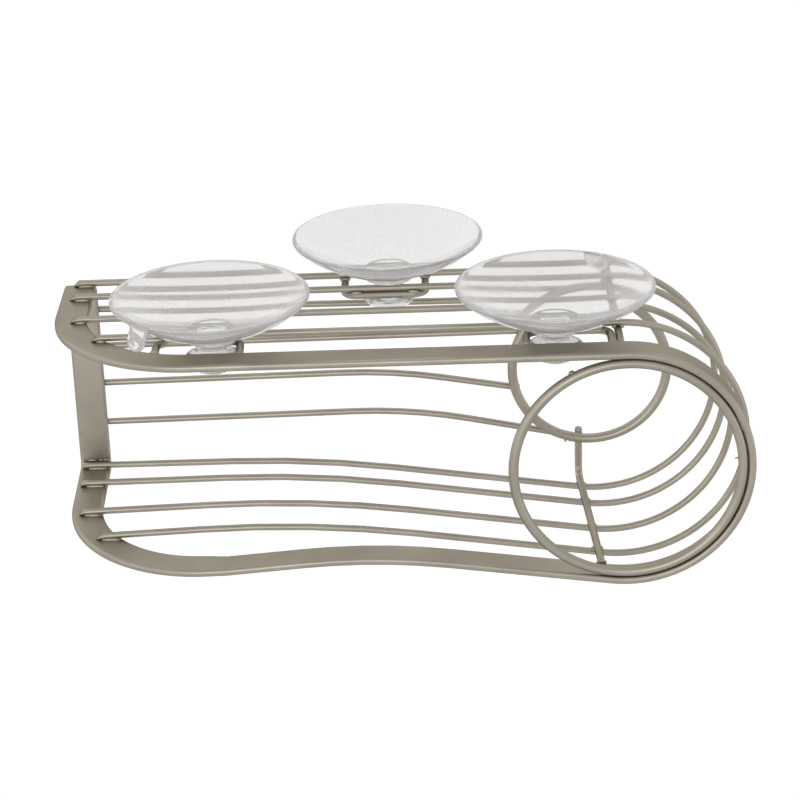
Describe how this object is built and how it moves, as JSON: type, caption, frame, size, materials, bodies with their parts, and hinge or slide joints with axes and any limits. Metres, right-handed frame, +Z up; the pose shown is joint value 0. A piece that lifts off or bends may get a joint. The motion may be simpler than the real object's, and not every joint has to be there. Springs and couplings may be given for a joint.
{
  "type": "shower caddy",
  "caption": "Wall-hung wire shower basket with a flat-bar rim, a ring for a razor or bottle, wavy front wires and clear suction cups that slide in slots behind it.",
  "frame": {"origin": "on the wall plane, where the cups' rims touch, midway between the two upper cup brackets, level with the underside of the floor strip", "axes": "+Z up, +Y into the wall, +X to the ring end (to the right for someone facing the wall)"},
  "size_m": [0.2229, 0.0986, 0.1116],
  "materials": {
    "satin_nickel": "satin nickel plate, warm grey",
    "clear_vinyl": "clear soft vinyl, faintly milky"
  },
  "bodies": {
    "basket": {"frame_band": "satin_nickel", "basket_wire_1": "satin_nickel", "basket_wire_2": "satin_nickel", "basket_wire_3": "satin_nickel", "basket_wire_4": "satin_nickel", "floor_wire_1": "satin_nickel", "floor_wire_2": "satin_nickel", "floor_wire_3": "satin_nickel", "floor_wire_4": "satin_nickel", "upper_ring": "satin_nickel", "floor_ring": "satin_nickel", "front_strut": "satin_nickel", "back_strut": "satin_nickel", "cup_bracket_left": "satin_nickel", "cup_bracket_right": "satin_nickel", "cup_bracket_lower": "satin_nickel"},
    "left_cup": {"suction_cup_left": "clear_vinyl"},
    "right_cup": {"suction_cup_right": "clear_vinyl"},
    "lower_cup": {"suction_cup_lower": "clear_vinyl"}
  },
  "joints": [
    {"name": "left_cup_slide", "type": "slide", "parent": "basket", "child": "left_cup", "axis": [1, 0, 0], "range_m": [-0.0118, 0.0022]},
    {"name": "right_cup_slide", "type": "slide", "parent": "basket", "child": "right_cup", "axis": [1, 0, 0], "range_m": [-0.0028, 0.0112]},
    {"name": "lower_cup_slide", "type": "slide", "parent": "basket", "child": "lower_cup", "axis": [1, 0, 0], "range_m": [-0.0083, 0.0057]}
  ]
}
